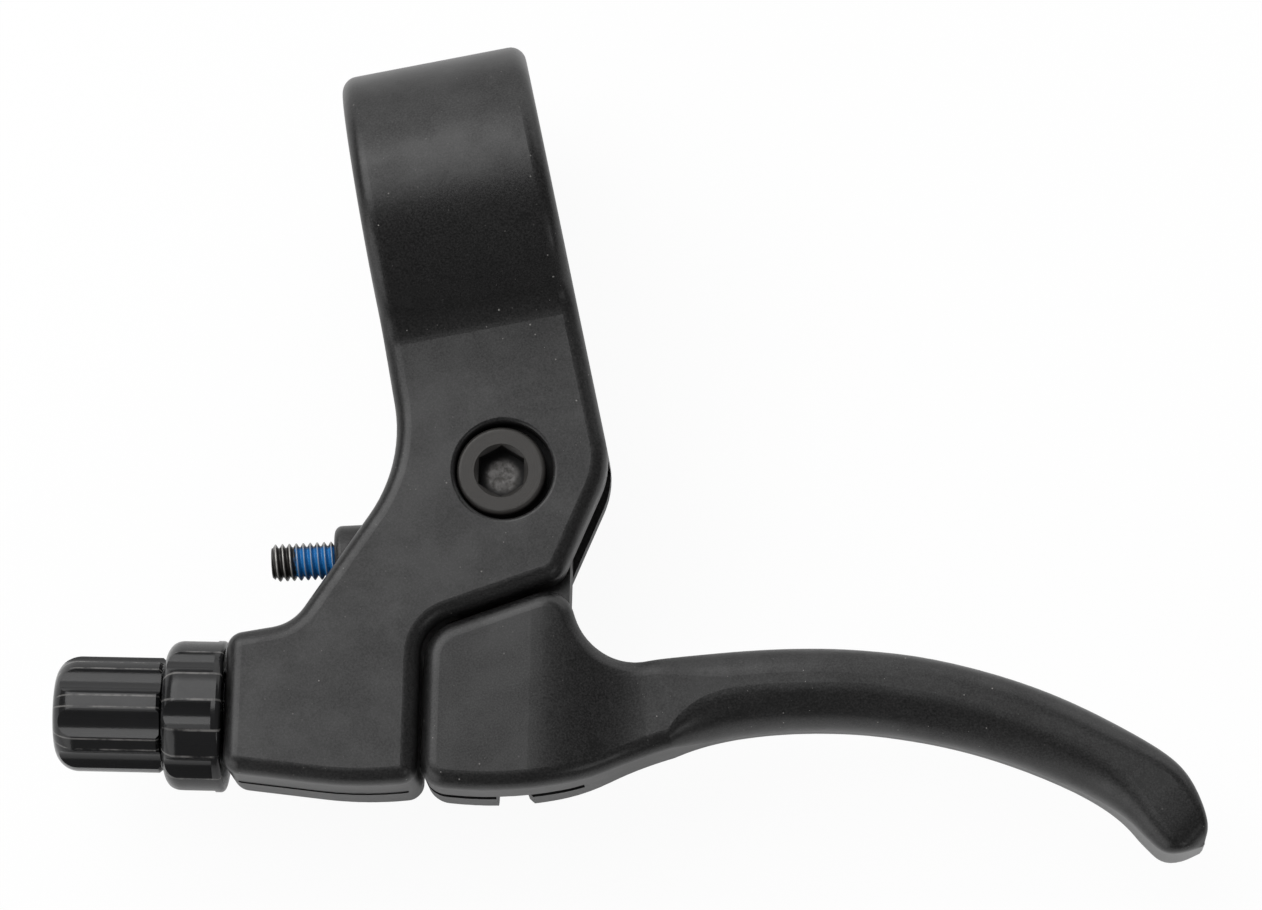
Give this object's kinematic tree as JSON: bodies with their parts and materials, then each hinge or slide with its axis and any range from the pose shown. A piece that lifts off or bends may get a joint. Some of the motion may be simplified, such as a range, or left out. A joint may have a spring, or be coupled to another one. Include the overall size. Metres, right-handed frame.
{
  "type": "bicycle brake lever",
  "caption": "Short flat-bar bicycle brake lever: a closed handlebar band with a forked bracket, a curved blade on a pivot bolt, a reach screw and a cable adjuster with a lock nut.",
  "frame": {"origin": "middle of the handlebar bore", "axes": "+X along the handlebar towards the blade's tip, +Y from the lever towards the bar, +Z out of the bracket's front face"},
  "size_m": [0.1173, 0.0994, 0.0314],
  "materials": {
    "bracket_paint": "satin black",
    "lever_paint": "satin black",
    "adjuster": "black anodised",
    "black_steel": "black oxide",
    "reach_steel": "black oxide with a blue locking patch",
    "bush": "plain"
  },
  "bodies": {
    "bracket": {"bracket": "bracket_paint", "pivot_bolt": "black_steel", "pivot_nut": "black_steel", "clamp_bolt": "black_steel"},
    "lever": {"lever": "lever_paint", "pivot_bush_front": "bush", "pivot_bush_back": "bush"},
    "adjusting_barrel": {"adjusting_barrel": "adjuster"},
    "lock_nut": {"lock_nut": "adjuster"},
    "reach_screw": {"reach_screw": "reach_steel"}
  },
  "joints": [
    {"name": "lever_squeeze", "type": "hinge", "parent": "bracket", "child": "lever", "pos_m": [-0.00075, -0.0308, 0], "axis": [0, 0, 1], "range_deg": [0, 40]},
    {"name": "adjuster_travel", "type": "slide", "parent": "bracket", "child": "adjusting_barrel", "axis": [-0.9774, 0.2113, 0], "range_m": [0, 0.0065]},
    {"name": "lock_nut_turn", "type": "hinge", "parent": "bracket", "child": "lock_nut", "pos_m": [-0.03724, -0.0492, 0], "axis": [-0.9774, 0.2113, 0], "continuous": true},
    {"name": "reach_screw_travel", "type": "slide", "parent": "bracket", "child": "reach_screw", "axis": [-0.9898, 0.1426, 0], "range_m": [0, 0.006]}
  ]
}
